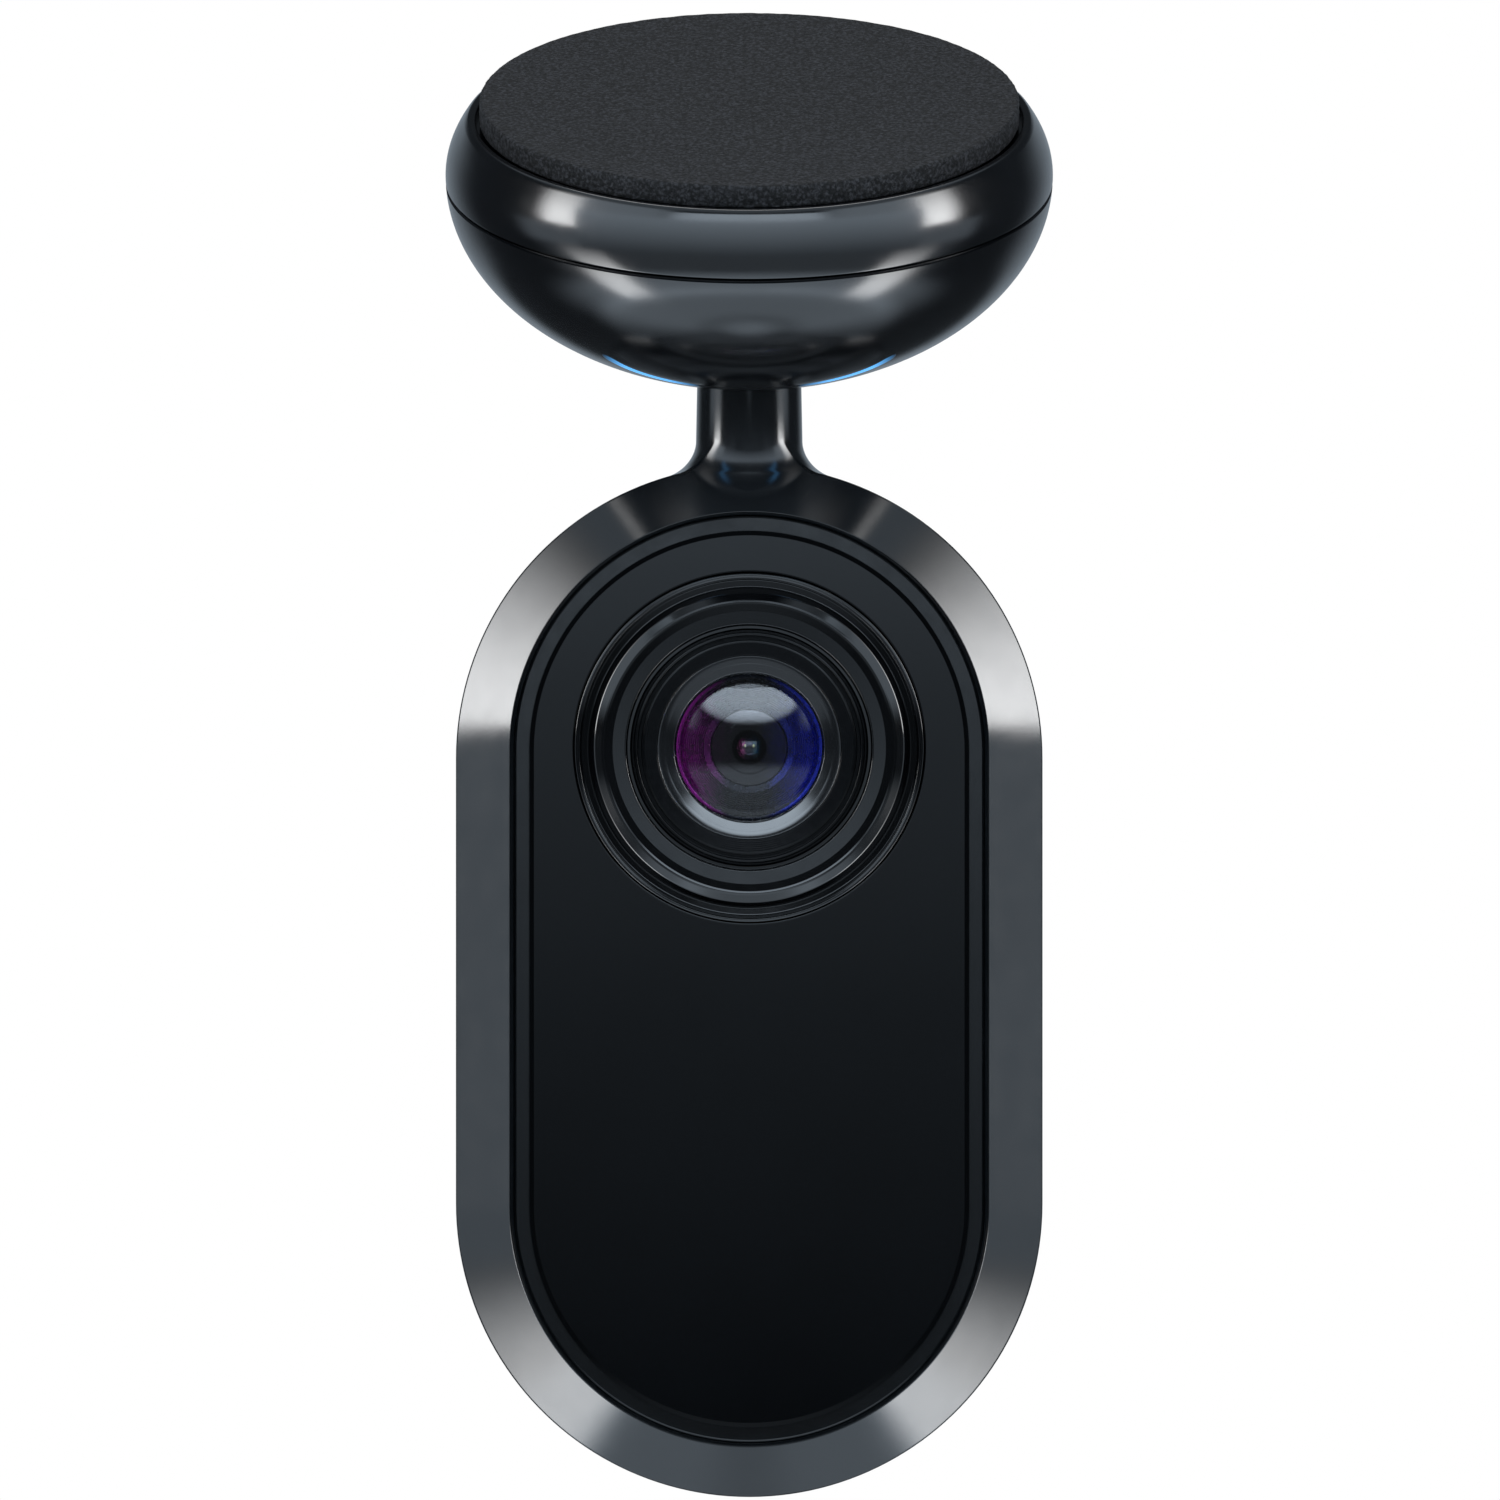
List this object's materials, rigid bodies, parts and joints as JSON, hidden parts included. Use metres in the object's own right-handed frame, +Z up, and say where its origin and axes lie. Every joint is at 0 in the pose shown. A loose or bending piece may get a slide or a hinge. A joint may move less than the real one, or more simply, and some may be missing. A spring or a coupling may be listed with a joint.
{
  "type": "dash camera",
  "caption": "Small upright dash camera with a round-ended body, a stepped wide-angle lens and a neck held in a ball joint under a disc-shaped windscreen mount.",
  "frame": {"origin": "centre of the adhesive pad's face, where it sticks to the windscreen", "axes": "+Z up with the camera hanging upright, the lens looks along -Y, +X to the right of someone facing the lens; the pad's face leans 19.4 degrees towards -Y"},
  "size_m": [0.0394, 0.0379, 0.0964],
  "materials": {
    "pad_foam": "fine-celled black foam tape",
    "gloss_housing": "piano black moulding",
    "body_finish": "smooth gunmetal lacquer",
    "rear_plastic": "fine spark-eroded grain",
    "window_gloss": "polished dark front panel",
    "light_guide": "blue-lit light guide",
    "lens_black": "anodised black, fine turned lines",
    "lens_glass": "coated optical glass",
    "nylon": "natural nylon",
    "steel": "zinc-plated steel",
    "alloy": "pressed sheet",
    "rubber": "closed-cell gasket",
    "circuit_board": "solder-masked glass-fibre board",
    "chip_black": "moulded epoxy",
    "cell_wrap": "heat-sealed foil pouch",
    "flex_amber": "polyimide film"
  },
  "bodies": {
    "mount": {"adhesive_pad": "pad_foam", "mount_upper_housing": "gloss_housing", "mount_lower_shell": "gloss_housing", "status_light_guide": "light_guide", "ball_socket_upper": "nylon", "ball_socket_lower": "nylon", "friction_washer": "steel", "socket_screw_1": "steel", "socket_screw_2": "steel", "socket_screw_3": "steel", "status_light_board": "circuit_board", "status_led_left": "light_guide", "status_led_right": "light_guide"},
    "ball": {"joint_ball": "gloss_housing", "ball_stem": "steel"},
    "camera": {"body_shell": "body_finish", "rear_cover": "rear_plastic", "window_panel": "window_gloss", "window_gasket": "rubber", "lens_bezel": "gloss_housing", "lens_front_ring": "lens_black", "lens_barrel": "lens_black", "front_element": "lens_glass", "light_baffle": "lens_black", "inner_element": "lens_glass", "rear_element": "lens_glass", "lens_holder": "chip_black", "image_sensor": "chip_black", "sensor_board": "circuit_board", "sensor_flex_cable": "flex_amber", "main_board": "circuit_board", "processor": "chip_black", "memory_chip": "chip_black", "heat_spreader": "alloy", "battery": "cell_wrap", "speaker": "steel", "microphone": "alloy", "card_socket": "alloy", "usb_socket": "steel", "button_switch": "chip_black", "cover_screw_1": "steel", "cover_screw_2": "steel", "cover_screw_3": "steel", "cover_screw_4": "steel"},
    "button": {"record_button": "rear_plastic"},
    "card": {"memory_card": "chip_black"}
  },
  "joints": [
    {"name": "ball_tilt", "type": "hinge", "parent": "mount", "child": "ball", "pos_m": [0, 0.00339, -0.00962], "axis": [1, 0, 0], "range_deg": [-7, 46]},
    {"name": "neck_swivel", "type": "hinge", "parent": "ball", "child": "camera", "pos_m": [0, 0.00339, -0.00962], "axis": [0, 0, 1], "range_deg": [-45, 45]},
    {"name": "button_press", "type": "slide", "parent": "camera", "child": "button", "axis": [0, -1, 0], "range_m": [0, 0.0006], "stiffness_N_per_m": 500, "springref_m": -0.0006},
    {"name": "card_slide", "type": "slide", "parent": "camera", "child": "card", "axis": [1, 0, 0], "range_m": [0, 0.012]}
  ]
}
